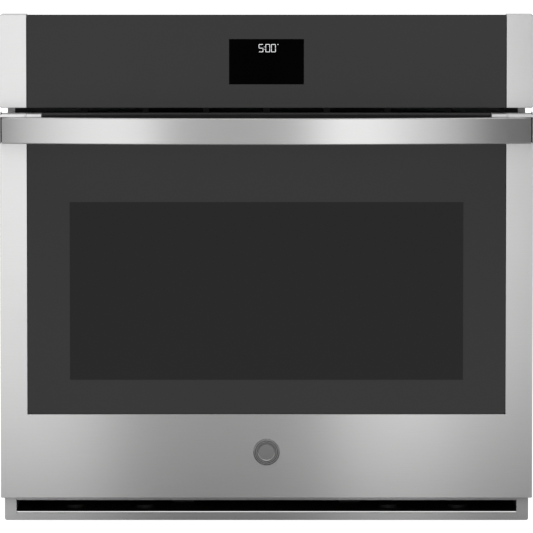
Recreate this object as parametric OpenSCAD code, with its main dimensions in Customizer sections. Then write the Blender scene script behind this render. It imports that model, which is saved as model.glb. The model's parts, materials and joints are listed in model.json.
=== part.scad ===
// Built-in single electric wall oven with a drop-down door.
// Millimetres, +Z up, the front faces -Y, origin under the middle of the overall box.

/* [Overall] */
// Width over the door and the control panel
overall_w = 756; // [740:1:770]
// Height from the lower trim to the top of the control panel
overall_h = 724; // [715:1:735]
// Depth from the handle to the rear panel
overall_d = 680; // [660:1:700]

/* [Door] */
// Height of the door
door_h = 548; // [545:1:550]
// Thickness of the door
door_t = 40; // [38:1:42]
// Height of the underside of the door
door_z = 37; // [36:1:38]
// Width of the stainless strip beside the glass
side_strip_w = 38.5; // [36:0.5:42]
// Height of the stainless panel under the glass
lower_panel_h = 119.5; // [110:0.5:130]
// Width of the clear window area
window_w = 558; // [540:1:560]
// Height of the clear window area
window_h = 253; // [240:1:258]
// Height of the middle of the window
window_z = 332; // [325:1:340]
// Space between the door and the front frame
seal_gap = 6; // [6:0.5:7]

/* [Handle] */
// Reach of the bar in front of the door face, at the middle
handle_reach = 70; // [60:1:75]
// Length of the bar
handle_w = 748; // [740:1:750]
// Height of the bar
handle_h = 37; // [30:1:38]
// Thickness of the bar
handle_t = 12; // [10:1:14]
// How far the bar bows forward between its ends
handle_bow = 32.5; // [20:0.5:34]
// Distance from the top of the door to the top of the bar
handle_drop = 4.5; // [4:0.5:8]
// Width of each handle bracket
bracket_w = 59; // [50:1:64]

/* [Control panel] */
// Height of the control panel
panel_h = 132; // [130:1:136]
// Depth of the control panel
panel_d = 43.7; // [40:0.1:43.7]

/* [Cavity] */
// Clear width of the oven cavity
cavity_w = 635; // [600:1:636]
// Clear height of the oven cavity
cavity_h = 450; // [430:1:450]
// Clear depth of the oven cavity, from the front frame
cavity_d = 490; // [470:1:490]
// Height of the cavity floor
cavity_z = 85; // [84:1:88]
// Distance between two rack positions
rack_pitch = 60; // [56:1:62]

/* [Chassis] */
// Width of the chassis behind the front frame
chassis_w = 717; // [715:1:719]
// Width of the front frame
frame_w = 736; // [732:1:738]
// Height of the rear part of the chassis top
chassis_top = 655; // [655:1:656]
// Height of the front part of the chassis top
front_top = 698; // [690:1:700]
// Width of the lower vent trim
trim_w = 748; // [740:1:750]
// Height of the rail under the vent slot
rail_h = 11; // [9:1:11]

/* [Hidden] */
$fn = 64;

// Planes across the depth, from the handle to the rear
front_y = -overall_d / 2;
back_y = overall_d / 2;
face_y = front_y + handle_reach;
door_in_y = face_y + door_t;
frame_y = door_in_y + seal_gap;
frame_t = 2;
frame_back_y = frame_y + frame_t;
cavity_back_y = frame_back_y + cavity_d;
panel_back_y = face_y + panel_d;
panel_glass_w = overall_w - 2 * side_strip_w - 0.6;

// Heights
door_top = door_z + door_h;
panel_z = overall_h - panel_h;
glass_z = door_z + lower_panel_h;
top_trim_z = door_top - 3;
base_z = 12;
trim_top = 34;
frame_z = 28.5;
cavity_top = cavity_z + cavity_h;
blanket_top = 575;
wool_back = 300;
duct_z = 576;
duct_h = 26;
step_y = -14;

// Sheet thicknesses and general clearances
sheet = 1.2;
thin = 1;
pane = 4;
gap = 0.3;
run_fit = 0.05;
wide = 1000;
over = 1;
shell_fit = 0.2;
inside_w = chassis_w - 2 * thin - shell_fit;
inside_back_y = back_y - thin - shell_fit;

// Hinge
hinge_y = door_in_y - 10;
hinge_z = door_z + 10;
hinge_x = 330;
pin_r = 4;
arm_t = 5;
arm_h = 12;
arm_y = -150;
catch_y = -165;
catch_z = hinge_z - 5;
catch_r = 3;

// Springs inside the door
spring_y = face_y + 20;
spring_z = 90;
spring_top = 230;
coil_r = 4.4;
coil_wire = 1;
coil_turns = 12;
coil_steps = 8;
coil_sides = 5;

// Sheets inside the door
badge_z = door_z + 65.5;
badge_pin_r = 2.5;
pan_top = 546;
opening_w = window_w + 2;
opening_h = window_h + 17;
tube_w = 624;
tube_h = 320;

// Handle
bar_top = door_top - handle_drop;
bar_z = bar_top - handle_h;
bow_r = (pow(handle_w / 2, 2) + pow(handle_bow, 2)) / (2 * handle_bow);
bow_y = front_y + bow_r;
bar_round = 2;
bow_fn = 256;
screw_x = overall_w / 2 - 19;
screw_zs = [bar_z + 10, bar_z + 28];
handle_screw_r = 3;

// Fan, blower, lamp and sensor positions
fan_z = cavity_z + cavity_h / 2;
fan_r = 75;
shaft_r = 4;
blower_y = 140;
blower_z = 617;
blower_r = 26;
blower_w = 236;
blower_shaft_r = 3;
lamp_x = -240;
lamp_z = 470;
sensor_x = 240;
sensor_z = 522;
sensor_r = 3;
element_r = 3.5;
element_x = 225;
broil_z = cavity_top - 20;
bake_z = cavity_z - 10.5;
terminal_x = 12;
terminal_y = 285;
ring_r = 100;
rack_zs = [for (level = [0 : 5]) cavity_z + 50 + level * rack_pitch];

// Latch, switch, conduit and cabinet screws
latch_z = 556;
latch_travel = 12;
latch_slot = 7;
motor_z = latch_z - 7.5;
switch_back = -194;
switch_x = 250;
plunger_r = 3;
conduit_x = 297.5;
conduit_z = 617.5;
conduit_r = 12.5;
conduit_wall = 2.5;
conduit_hole_r = conduit_r + conduit_wall + run_fit;
cabinet_screw_x = 363.2;
cabinet_screw_zs = [120, 540];
cabinet_screw_r = 2.4;

steel = "silver";
galvanised = "lightsteelblue";
enamel = "darkslategray";
blackish = "black";

// A box centred across X, between two depths and two heights
module slab(w, y0, y1, z0, z1) {
    translate([-w / 2, y0, z0]) cube([w, y1 - y0, z1 - z0]);
}

// A box between two corners
module block(a, b) {
    translate(a) cube(b - a);
}

// A round bar along Y
module bar_y(r, x, y0, y1, z) {
    translate([x, y0, z]) rotate([-90, 0, 0]) cylinder(r = r, h = y1 - y0);
}

// A round bar along X
module bar_x(r, x0, x1, y, z) {
    translate([x0, y, z]) rotate([0, 90, 0]) cylinder(r = r, h = x1 - x0);
}

// A round bar along Z
module bar_z(r, x, y, z0, z1) {
    translate([x, y, z0]) cylinder(r = r, h = z1 - z0);
}

// The same shape on both sides
module both_sides() {
    children();
    mirror([1, 0, 0]) children();
}

// ---- Chassis ----

module base_pan() {
    flange_h = 14;
    boss_r = 14;
    boss_h = 6;
    boss_y = -180;
    rib_w = 30;
    rib_h = 6;
    rib_x = 120;
    rib_front = -120;
    rib_back = 290;
    color(blackish) union() {
        slab(inside_w, frame_back_y, inside_back_y, base_z, base_z + sheet);
        slab(inside_w, inside_back_y - sheet, inside_back_y, base_z, base_z + flange_h);
        both_sides() {
            block([rib_x - rib_w / 2, rib_front, base_z], [rib_x + rib_w / 2, rib_back, base_z + rib_h]);
            for (x = [175, 275]) bar_z(boss_r, x, boss_y, base_z, base_z + boss_h);
        }
    }
}

module side_panel() {
    bead_h = 12;
    bead_t = 1.5;
    bead_front = -150;
    bead_back = 280;
    color(galvanised) union() {
        translate([chassis_w / 2 - thin, 0, 0]) rotate([90, 0, 90])
            linear_extrude(thin) polygon([
                [frame_back_y, base_z], [back_y, base_z], [back_y, chassis_top],
                [step_y, chassis_top], [step_y, front_top], [frame_back_y, front_top]
            ]);
        for (z = [180, 400]) block([chassis_w / 2 - thin, bead_front, z],
            [chassis_w / 2 + bead_t, bead_back, z + bead_h]);
    }
}

module left_side_panel() {
    mirror([1, 0, 0]) side_panel();
}

module right_side_panel() {
    side_panel();
}

module rear_panel() {
    vent_z = 600;
    vent_w = 20;
    vent_h = 5;
    vent_pitch = 30;
    row_pitch = 14;
    groove_x = 200;
    groove_w = 10;
    groove_d = 0.5;
    groove_z = 60;
    groove_h = 500;
    color(galvanised) difference() {
        slab(inside_w, back_y - thin, back_y, base_z, chassis_top - thin - shell_fit);
        bar_y(conduit_hole_r, conduit_x, back_y - thin - over, back_y + over, conduit_z);
        for (row = [0 : 2], column = [-4 : 4])
            translate([column * vent_pitch - vent_w / 2, back_y - thin - over, vent_z + row * row_pitch])
                cube([vent_w, thin + 2 * over, vent_h]);
        both_sides() block([groove_x, back_y - groove_d, groove_z],
            [groove_x + groove_w, back_y + over, groove_z + groove_h]);
    }
}

module top_front_cover() {
    vent_w = 30;
    vent_h = 6;
    vent_pitch = 50;
    vent_z = chassis_top + 15;
    color(galvanised) difference() {
        union() {
            slab(inside_w, frame_back_y, step_y, front_top - thin, front_top);
            slab(inside_w, step_y - thin, step_y, chassis_top + gap, front_top);
        }
        for (column = [-5 : 5])
            translate([column * vent_pitch - vent_w / 2, step_y - thin - over, vent_z])
                cube([vent_w, thin + 2 * over, vent_h]);
    }
}

module top_rear_cover() {
    vent_w = 8;
    vent_d = 50;
    vent_pitch = 22;
    color(galvanised) difference() {
        slab(inside_w, step_y, inside_back_y, chassis_top - thin, chassis_top);
        for (column = [-5 : 5])
            translate([column * vent_pitch - vent_w / 2, blower_y - vent_d / 2, chassis_top - thin - over])
                cube([vent_w, vent_d, thin + 2 * over]);
    }
}

module front_frame() {
    arm_slot_w = 8;
    arm_slot_h = 16;
    duct_w = 680;
    cable_w = 480;
    cable_z = 630;
    cable_h = 40;
    latch_slot_h = 10;
    color(steel) difference() {
        slab(frame_w, frame_y, frame_back_y, frame_z, front_top);
        slab(cavity_w, frame_y - over, frame_back_y + over, cavity_z, cavity_top);
        slab(duct_w, frame_y - over, frame_back_y + over, duct_z + thin, duct_z + duct_h - thin);
        slab(cable_w, frame_y - over, frame_back_y + over, cable_z, cable_z + cable_h);
        both_sides() {
            block([hinge_x - arm_slot_w / 2, frame_y - over, hinge_z - arm_slot_h / 2],
                [hinge_x + arm_slot_w / 2, frame_back_y + over, hinge_z + arm_slot_h / 2]);
            for (z = cabinet_screw_zs)
                bar_y(cabinet_screw_r, cabinet_screw_x, frame_y - over, frame_back_y + over, z);
        }
        block([-latch_slot, frame_y - over, latch_z - latch_slot_h / 2],
            [latch_slot + latch_travel, frame_back_y + over, latch_z + latch_slot_h / 2]);
        bar_y(plunger_r + 0.5, switch_x, frame_y - over, frame_back_y + over, latch_z);
    }
}

module lower_trim() {
    post_w = 16.9;
    rail_t = 1.5;
    trim_y = frame_y - 2;
    lip_y = frame_back_y - gap;
    side_y = frame_y - 0.1;
    color(steel) union() {
        slab(trim_w, trim_y, trim_y + rail_t, 0, rail_h);
        slab(trim_w, trim_y, lip_y, rail_h - sheet, rail_h);
        slab(trim_w, trim_y, lip_y, 0, sheet);
        both_sides() {
            block([trim_w / 2 - post_w, trim_y, 0], [trim_w / 2, trim_y + rail_t, trim_top]);
            block([trim_w / 2 - sheet, trim_y, 0], [trim_w / 2, side_y, trim_top]);
            block([trim_w / 2 - post_w, trim_y, rail_h], [trim_w / 2 - post_w + sheet, frame_y, trim_top]);
        }
    }
}

module vent_louvre() {
    slot_w = 76;
    slot_h = 9;
    slot_pitch = 86;
    strip_w = 715;
    strip_h = 28;
    strip_t = 2;
    color(blackish) difference() {
        slab(strip_w, frame_y - strip_t, frame_y, duct_z, duct_z + strip_h);
        for (column = [-3.5 : 3.5])
            translate([column * slot_pitch - slot_w / 2, frame_y - strip_t - over, duct_z + 8])
                cube([slot_w, strip_t + 2 * over, slot_h]);
    }
}

// Plan of the duct, wide at the front and narrow where the blower stands
module duct_plan(inset) {
    front_half = 340 - inset;
    rear_half = blower_w / 2 + 5 - inset;
    taper_front = -120;
    taper_back = 20;
    duct_back = blower_y - 35.2;
    polygon([
        [-front_half, frame_back_y + gap], [front_half, frame_back_y + gap],
        [front_half, taper_front], [rear_half, taper_back], [rear_half, duct_back],
        [-rear_half, duct_back], [-rear_half, taper_back], [-front_half, taper_front]
    ]);
}

module air_duct() {
    mouth_w = 678;
    color(galvanised) difference() {
        translate([0, 0, duct_z]) linear_extrude(duct_h) duct_plan(0);
        translate([0, 0, duct_z + thin]) linear_extrude(duct_h - 2 * thin) duct_plan(thin);
        slab(mouth_w, frame_y, frame_back_y + 10, duct_z + thin, duct_z + duct_h - thin);
        slab(blower_w + 8, blower_y - 45, blower_y, duct_z + thin, duct_z + duct_h - thin);
    }
}

// ---- Cavity ----

module cavity_liner() {
    shaft_hole_r = 8;
    lamp_hole_r = 20;
    tube_fit = 0.2;
    hole_back = cavity_back_y + sheet + over;
    color(enamel) difference() {
        slab(cavity_w + 2 * sheet, frame_back_y, cavity_back_y + sheet,
            cavity_z - sheet, cavity_top + sheet);
        slab(cavity_w, frame_back_y - over, cavity_back_y, cavity_z, cavity_top);
        bar_y(shaft_hole_r, 0, cavity_back_y - over, hole_back, fan_z);
        bar_y(lamp_hole_r, lamp_x, cavity_back_y - over, hole_back, lamp_z);
        bar_y(sensor_r + tube_fit, sensor_x, cavity_back_y - over, hole_back, sensor_z);
        both_sides() {
            bar_y(element_r + tube_fit, element_x, cavity_back_y - over, hole_back, broil_z);
            bar_y(element_r + tube_fit, terminal_x, cavity_back_y - over, hole_back, fan_z + ring_r);
        }
    }
}

module rack_guide() {
    post_r = 3;
    runner_r = 2.5;
    post_x = cavity_w / 2 - 3.5;
    runner_x = cavity_w / 2 - 8.5;
    post_ys = [-185, 10, 205];
    runner_front = -190;
    runner_back = 210;
    union() {
        for (y = post_ys) bar_z(post_r, post_x, y, cavity_z + 30, cavity_top - 60);
        for (z = rack_zs) bar_y(runner_r, runner_x, runner_front, runner_back, z);
    }
}

module rack_guides() {
    color(steel) both_sides() rack_guide();
}

module oven_rack(level) {
    side_x = cavity_w / 2 - 10;
    rod_r = 3;
    cross_r = 2.8;
    wire_r = 1.75;
    runner_r = 2.5;
    rack_front = -175;
    rack_back = 208;
    middle_y = 16;
    wire_count = 19;
    rack_z = rack_zs[level] + runner_r + rod_r + gap;
    color(steel) union() {
        for (x = [-side_x, side_x]) bar_y(rod_r, x, rack_front - rod_r, rack_back + rod_r, rack_z);
        for (y = [rack_front, middle_y, rack_back]) bar_x(cross_r, -side_x, side_x, y, rack_z);
        for (wire = [1 : wire_count])
            bar_y(wire_r, -side_x + wire * 2 * side_x / (wire_count + 1),
                rack_front - 1, rack_back + 1, rack_z + rod_r);
    }
}

module rack_lower() {
    oven_rack(1);
}

module rack_upper() {
    oven_rack(3);
}

module gasket_outline(w, h, r) {
    corner_x = w / 2 - r;
    corner_z = h / 2 - r;
    union() {
        square([w, h - 2 * r], center = true);
        square([w - 2 * r, h], center = true);
        for (x = [-corner_x, corner_x], y = [-corner_z, corner_z]) translate([x, y]) circle(r = r);
    }
}

module cavity_gasket() {
    rope = 9;
    hole_w = cavity_w + 14;
    hole_h = cavity_h + 10;
    color("dimgray") translate([0, frame_y, fan_z]) rotate([90, 0, 0])
        linear_extrude(seal_gap - gap) difference() {
            gasket_outline(hole_w + rope * 2, hole_h + rope * 2, 30);
            gasket_outline(hole_w, hole_h, 22);
        }
}

module insulation_blanket() {
    liner_fit = 0.6;
    blanket_z = 45;
    blanket_w = chassis_w - 4;
    under_liner = 66;
    motor_r = 62;
    lamp_r = 24;
    tube_r = 5;
    hole_front = 250;
    hole_back = wool_back + over;
    hinge_back = -136;
    latch_back = -150;
    color("khaki") difference() {
        slab(blanket_w, frame_back_y + gap, wool_back, blanket_z, blanket_top);
        slab(cavity_w + 2 * sheet + liner_fit, frame_back_y - over, cavity_back_y + sheet + gap,
            under_liner, cavity_top + sheet + gap);
        bar_y(motor_r, 0, hole_front, hole_back, fan_z);
        bar_y(lamp_r, lamp_x, hole_front, hole_back, lamp_z);
        bar_y(tube_r, sensor_x, hole_front, hole_back, sensor_z);
        both_sides() {
            bar_y(tube_r, element_x, hole_front, hole_back, broil_z);
            bar_y(tube_r, element_x, hole_front, hole_back, bake_z);
            bar_y(tube_r, terminal_x, hole_front, hole_back, fan_z + ring_r);
            block([hinge_x - 11, frame_y, 30], [hinge_x + 11, hinge_back, 62]);
        }
        block([-28, frame_y, latch_z - 15], [44, latch_back, latch_z + 17]);
        block([switch_x - 12, frame_y, latch_z - 10], [switch_x + 12, switch_back + 4, latch_z + 10]);
    }
}

// A folded heating tube: legs along Y joined by half turns, ends to the rear
module folded_tube(z) {
    legs = 6;
    pitch = 2 * element_x / (legs - 1);
    front_turn = -120;
    rear_turn = 190;
    union() {
        for (leg = [0 : legs - 1])
            bar_y(element_r, -element_x + leg * pitch, front_turn,
                leg == 0 || leg == legs - 1 ? terminal_y : rear_turn, z);
        for (turn = [0 : legs - 2]) translate([
            -element_x + (turn + 0.5) * pitch, turn % 2 == 0 ? front_turn : rear_turn, z
        ]) rotate([0, 0, turn % 2 == 0 ? 180 : 0])
            rotate_extrude(angle = 180) translate([pitch / 2, 0]) circle(r = element_r);
    }
}

module broil_element() {
    color("gray") folded_tube(broil_z);
}

module bake_element() {
    color("gray") folded_tube(bake_z);
}

module convection_cover() {
    cover_w = 320;
    cover_h = 280;
    cover_y = cavity_back_y - 42;
    hole_r = 4.5;
    hole_pitch = 18;
    slot_h = 8;
    slot_d = 18;
    color(enamel) difference() {
        slab(cover_w, cover_y, cavity_back_y - gap, fan_z - cover_h / 2, fan_z + cover_h / 2);
        slab(cover_w - 2 * thin, cover_y + thin, cavity_back_y + over,
            fan_z - cover_h / 2 + thin, fan_z + cover_h / 2 - thin);
        bar_y(hole_r, 0, cover_y - over, cover_y + thin + over, fan_z);
        for (ring = [1 : 3], hole = [0 : 6 * ring - 1])
            bar_y(hole_r, hole_pitch * ring * cos(60 * hole / ring), cover_y - over,
                cover_y + thin + over, fan_z + hole_pitch * ring * sin(60 * hole / ring));
        for (z = [-100 : 20 : 100], side = [-1, 1])
            translate([side * cover_w / 2 - 2, cover_y + 12, fan_z + z - slot_h / 2])
                cube([4, slot_d, slot_h]);
    }
}

module convection_element() {
    ring_y = cavity_back_y - 21;
    color("gray") union() {
        translate([0, ring_y, fan_z]) rotate([90, 0, 0])
            rotate_extrude() translate([ring_r, 0]) circle(r = element_r);
        both_sides() bar_y(element_r, terminal_x, ring_y, terminal_y, fan_z + ring_r);
    }
}

module convection_motor() {
    plate_r = 55;
    can_r = 38;
    boss_r = 14;
    plate_y = cavity_back_y + sheet;
    can_y = plate_y + 2;
    boss_y = 318;
    boss_end = 326;
    color("slategray") difference() {
        union() {
            bar_y(plate_r, 0, plate_y, can_y, fan_z);
            bar_y(can_r, 0, can_y, boss_y, fan_z);
            bar_y(boss_r, 0, boss_y, boss_end, fan_z);
        }
        bar_y(shaft_r + run_fit, 0, cavity_back_y, boss_end - 2, fan_z);
    }
}

module convection_fan() {
    blade_count = 10;
    blade_t = 1.5;
    blade_y = 239;
    hub_r = 10;
    hub_y = 236;
    shaft_end = 320;
    disc_y = cavity_back_y - 8;
    color(steel) union() {
        bar_y(shaft_r, 0, hub_y, shaft_end, fan_z);
        bar_y(hub_r, 0, hub_y, disc_y + blade_t, fan_z);
        bar_y(fan_r, 0, disc_y, disc_y + blade_t, fan_z);
        for (blade = [0 : blade_count - 1])
            translate([0, 0, fan_z]) rotate([0, blade * 360 / blade_count, 0])
                translate([hub_r - 2, blade_y, -blade_t / 2])
                    cube([fan_r - hub_r, disc_y - blade_y + 0.5, blade_t]);
    }
}

module lamp_lens() {
    rim_r = 32;
    dome_r = 27;
    bore_r = 24;
    color("white", 0.5) difference() {
        union() {
            bar_y(rim_r, lamp_x, cavity_back_y - 4, cavity_back_y - gap, lamp_z);
            bar_y(dome_r, lamp_x, cavity_back_y - 20, cavity_back_y - 3, lamp_z);
        }
        bar_y(bore_r, lamp_x, cavity_back_y - 17, cavity_back_y + over, lamp_z);
    }
}

module lamp_bulb() {
    bulb_r = 7;
    color("white") union() {
        bar_y(bulb_r, lamp_x, cavity_back_y - 10, cavity_back_y + 1, lamp_z);
        translate([lamp_x, cavity_back_y - 9, lamp_z]) sphere(r = bulb_r);
    }
}

module lamp_socket() {
    collar_r = 22;
    body_r = 18;
    color("ivory") union() {
        bar_y(collar_r, lamp_x, cavity_back_y + sheet + gap, cavity_back_y + 4, lamp_z);
        bar_y(body_r, lamp_x, cavity_back_y + 4, wool_back + 2, lamp_z);
    }
}

module temperature_sensor() {
    probe = 80;
    flange_r = 9;
    flange_t = 1.2;
    color("gray") union() {
        bar_y(sensor_r, sensor_x, cavity_back_y - probe, wool_back + 6, sensor_z);
        bar_y(flange_r, sensor_x, cavity_back_y - gap - flange_t, cavity_back_y - gap, sensor_z);
    }
}

// ---- Cooling air ----

module blower_housing() {
    half_d = 35;
    housing_z = duct_z + 2;
    housing_top = chassis_top - 4;
    bore_r = 29;
    bore_half = blower_w / 2 + 6;
    inlet_half = 14;
    color(galvanised) difference() {
        slab(blower_w + 16, blower_y - half_d, blower_y + half_d, housing_z, housing_top);
        bar_x(bore_r, -bore_half, bore_half, blower_y, blower_z);
        bar_x(blower_shaft_r + run_fit, -wide, wide, blower_y, blower_z);
        slab(blower_w + 4, blower_y - half_d - over, blower_y, housing_z + 2, duct_z + duct_h - 3);
        slab(blower_w + 4, blower_y - inlet_half, blower_y + inlet_half, blower_z + 13, housing_top + over);
    }
}

module blower_wheel() {
    blade_count = 16;
    blade_t = 1;
    blade_d = 7;
    disc_t = 1.5;
    shaft_end = 165;
    color(steel) union() {
        bar_x(blower_shaft_r, -blower_w / 2 - 8, shaft_end, blower_y, blower_z);
        for (x = [-blower_w / 2, 0, blower_w / 2])
            bar_x(blower_r, x - disc_t / 2, x + disc_t / 2, blower_y, blower_z);
        for (blade = [0 : blade_count - 1])
            translate([-blower_w / 2, blower_y, blower_z])
                rotate([blade * 360 / blade_count, 0, 0])
                    translate([0, -blade_t / 2, blower_r - blade_d - 1]) cube([blower_w, blade_t, blade_d]);
    }
}

module blower_motor() {
    half = 24;
    boss_r = 10;
    motor_x = blower_w / 2 + 8.2;
    motor_end = blower_w / 2 + 44;
    boss_end = motor_end + 8;
    color("slategray") difference() {
        union() {
            block([motor_x, blower_y - half, blower_z - half], [motor_end, blower_y + half, blower_z + half]);
            bar_x(boss_r, motor_end, boss_end, blower_y, blower_z);
        }
        bar_x(blower_shaft_r + run_fit, blower_w / 2, boss_end - 2, blower_y, blower_z);
    }
}

// ---- Control panel ----

module control_glass() {
    color("dimgray") slab(panel_glass_w, face_y, face_y + pane, panel_z, overall_h);
}

module panel_cap() {
    inner_x = overall_w / 2 - side_strip_w;
    color(steel) difference() {
        block([inner_x, face_y, panel_z], [overall_w / 2, panel_back_y, overall_h]);
        block([inner_x + sheet, face_y + sheet, panel_z + sheet],
            [overall_w / 2 - sheet, panel_back_y + over, overall_h - sheet]);
    }
}

module left_panel_cap() {
    mirror([1, 0, 0]) panel_cap();
}

module right_panel_cap() {
    panel_cap();
}

module panel_bracket() {
    tray_y = face_y + pane + gap;
    tray_z = panel_z + 1.5;
    tray_top = overall_h - 4;
    leg_in = 260;
    leg_out = 330;
    color(galvanised) union() {
        difference() {
            slab(panel_glass_w, tray_y, panel_back_y, tray_z, tray_top);
            slab(panel_glass_w - 2 * sheet, tray_y - over, panel_back_y - sheet,
                tray_z + sheet, tray_top - sheet);
            slab(200, tray_y, panel_back_y + over, 640, 670);
        }
        both_sides() block([leg_in, panel_back_y, duct_z + 30], [leg_out, frame_y, front_top - 4]);
    }
}

module display_board() {
    board_y = face_y + 20;
    board_t = 1.6;
    part_r = 5;
    part_h = 10.4;
    color("darkgreen") union() {
        slab(200, board_y, board_y + board_t, 606, 712);
        slab(106, face_y + pane + gap, board_y, 625, 688);
        for (x = [-80, -64, 64, 80])
            bar_y(part_r, x, board_y + board_t, board_y + board_t + part_h, 640);
    }
}

module relay_board() {
    board_z = 640;
    board_t = 1.6;
    relay_half = 12;
    relay_h = 22;
    post_r = 4;
    color("darkgreen") union() {
        block([-160, -190, board_z], [60, -60, board_z + board_t]);
        for (x = [-140 : 36 : 40])
            block([x - relay_half, -120, board_z + board_t], [x + relay_half, -90, board_z + relay_h]);
        for (x = [-150, 50], y = [-180, -70]) bar_z(post_r, x, y, duct_z + duct_h, board_z);
    }
}

// ---- Door lock and switch ----

module latch_bracket() {
    shelf_z = latch_z - 9;
    ear_top = latch_z + 12;
    ear_y = frame_back_y + 1.5;
    color(galvanised) union() {
        block([-25, frame_back_y, shelf_z], [40, -155, motor_z]);
        block([-25, frame_back_y, shelf_z], [-9, ear_y, ear_top]);
        block([22, frame_back_y, shelf_z], [40, ear_y, ear_top]);
    }
}

module latch_motor() {
    motor_x = 15;
    motor_y = -178;
    motor_r = 12;
    motor_top = latch_z + 10;
    color("slategray") union() {
        bar_z(motor_r, motor_x, motor_y, motor_z, motor_top);
        bar_z(3, motor_x, motor_y, motor_top, motor_top + 4);
    }
}

module latch_hook() {
    half_t = 1.5;
    half_w = 4;
    head_w = 18;
    head_y = door_in_y - 17;
    stem_back = -196;
    color(steel) union() {
        block([-half_w, head_y, latch_z - half_t], [half_w, stem_back, latch_z + half_t]);
        block([-half_w, head_y, latch_z - half_t], [head_w - half_w, head_y + 5, latch_z + half_t]);
    }
}

module door_switch() {
    half_w = 10;
    half_h = 8;
    color(blackish) difference() {
        block([switch_x - half_w, frame_back_y, latch_z - half_h],
            [switch_x + half_w, switch_back, latch_z + half_h]);
        bar_y(plunger_r + run_fit, switch_x, frame_back_y - over, switch_back - 2, latch_z);
    }
}

module switch_plunger() {
    color("white") bar_y(plunger_r, switch_x, door_in_y + gap, switch_back - 8.5, latch_z);
}

// ---- Hinges ----

module hinge_receiver() {
    outer = 9;
    half_h = 10;
    wall = 1.5;
    receiver_back = -140;
    difference() {
        block([hinge_x - outer, frame_back_y, hinge_z - half_h],
            [hinge_x + outer, receiver_back, hinge_z + half_h]);
        block([hinge_x - outer + wall, frame_back_y - over, hinge_z - half_h + wall],
            [hinge_x + outer - wall, receiver_back - wall, hinge_z + half_h - wall]);
    }
    bar_x(catch_r, hinge_x - outer, hinge_x + outer, catch_y, catch_z);
}

module hinge_receivers() {
    color(galvanised) both_sides() union() hinge_receiver();
}

module hinge_arm() {
    eye_r = 8;
    notch_r = catch_r + 0.1;
    difference() {
        union() {
            bar_x(eye_r, hinge_x - arm_t / 2, hinge_x + arm_t / 2, hinge_y, hinge_z);
            block([hinge_x - arm_t / 2, hinge_y, hinge_z - arm_h / 2],
                [hinge_x + arm_t / 2, arm_y, hinge_z + arm_h / 2]);
        }
        bar_x(pin_r + run_fit, hinge_x - arm_t, hinge_x + arm_t, hinge_y, hinge_z);
        bar_x(notch_r, hinge_x - arm_t, hinge_x + arm_t, catch_y, catch_z);
        block([hinge_x - arm_t, catch_y - notch_r, hinge_z - arm_h],
            [hinge_x + arm_t, catch_y + notch_r, catch_z]);
    }
}

module hinge_arms() {
    color("gray") both_sides() hinge_arm();
}

module hinge_channel() {
    outer = 8;
    wall = 2;
    channel_front = face_y + 8;
    channel_back = door_in_y - 1.5;
    channel_top = 250;
    spring_pin_r = 3;
    union() {
        difference() {
            block([hinge_x - outer, channel_front, door_z + 5], [hinge_x + outer, channel_back, channel_top]);
            block([hinge_x - outer + wall, channel_front + wall, door_z],
                [hinge_x + outer - wall, channel_back + over, channel_top + over]);
        }
        bar_x(pin_r, hinge_x - outer, hinge_x + outer, hinge_y, hinge_z);
        bar_x(spring_pin_r, hinge_x - outer, hinge_x + outer, spring_y, spring_top + 6);
    }
}

module hinge_channels() {
    color("gray") both_sides() hinge_channel();
}

// Points round the wire at one step of the helix
function coil_ring(step) = let (
    turn = step * 360 / coil_steps,
    z = spring_z + (spring_top - spring_z) * step / (coil_turns * coil_steps)
) [for (side = [0 : coil_sides - 1]) let (
    out = coil_r + coil_wire * cos(side * 360 / coil_sides)
) [out * cos(turn), out * sin(turn), z + coil_wire * sin(side * 360 / coil_sides)]];

module hinge_spring() {
    steps = coil_turns * coil_steps;
    points = [for (step = [0 : steps]) each coil_ring(step)];
    sides = [for (step = [0 : steps - 1], side = [0 : coil_sides - 1]) let (
        a = step * coil_sides + side,
        b = step * coil_sides + (side + 1) % coil_sides
    ) each [[a, a + coil_sides, b + coil_sides], [a, b + coil_sides, b]]];
    first = [for (side = [0 : coil_sides - 1]) side];
    last = [for (side = [coil_sides - 1 : -1 : 0]) steps * coil_sides + side];
    translate([hinge_x, spring_y, 0]) polyhedron(points, concat(sides, [first], [last]));
}

module hinge_springs() {
    color("gray") both_sides() hinge_spring();
}

// ---- Supply ----

module junction_box() {
    left_x = 250;
    right_x = 345;
    box_y = 270;
    box_z = 590;
    box_top = 645;
    color(galvanised) difference() {
        block([left_x, box_y, box_z], [right_x, inside_back_y, box_top]);
        block([left_x + sheet, box_y + sheet, box_z + sheet],
            [right_x - sheet, inside_back_y - sheet, box_top + over]);
        bar_y(conduit_hole_r, conduit_x, inside_back_y - 2 * sheet, back_y + over, conduit_z);
    }
}

module conduit_bushing() {
    bushing_d = 18;
    nut_r = conduit_r + conduit_wall + 4;
    color(blackish) difference() {
        union() {
            bar_y(conduit_r + conduit_wall, conduit_x, back_y - bushing_d, back_y, conduit_z);
            bar_y(nut_r, conduit_x, back_y - 6.5, back_y - 2.5, conduit_z);
        }
        bar_y(conduit_r, conduit_x, back_y - bushing_d - over, back_y + over, conduit_z);
    }
}

module chassis_screws() {
    head_r = 3.4;
    head_t = 1.6;
    color("gray") both_sides() for (z = [80, 300, 520, 640])
        bar_x(head_r, chassis_w / 2, chassis_w / 2 + head_t, back_y - 12, z);
}

// ---- Door ----

module rounded_sill(w, h, r) {
    union() {
        translate([-w / 2, r]) square([w, h - r]);
        translate([-w / 2 + r, 0]) square([w - 2 * r, h]);
        for (x = [-w / 2 + r, w / 2 - r]) translate([x, r]) circle(r = r);
    }
}

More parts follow.
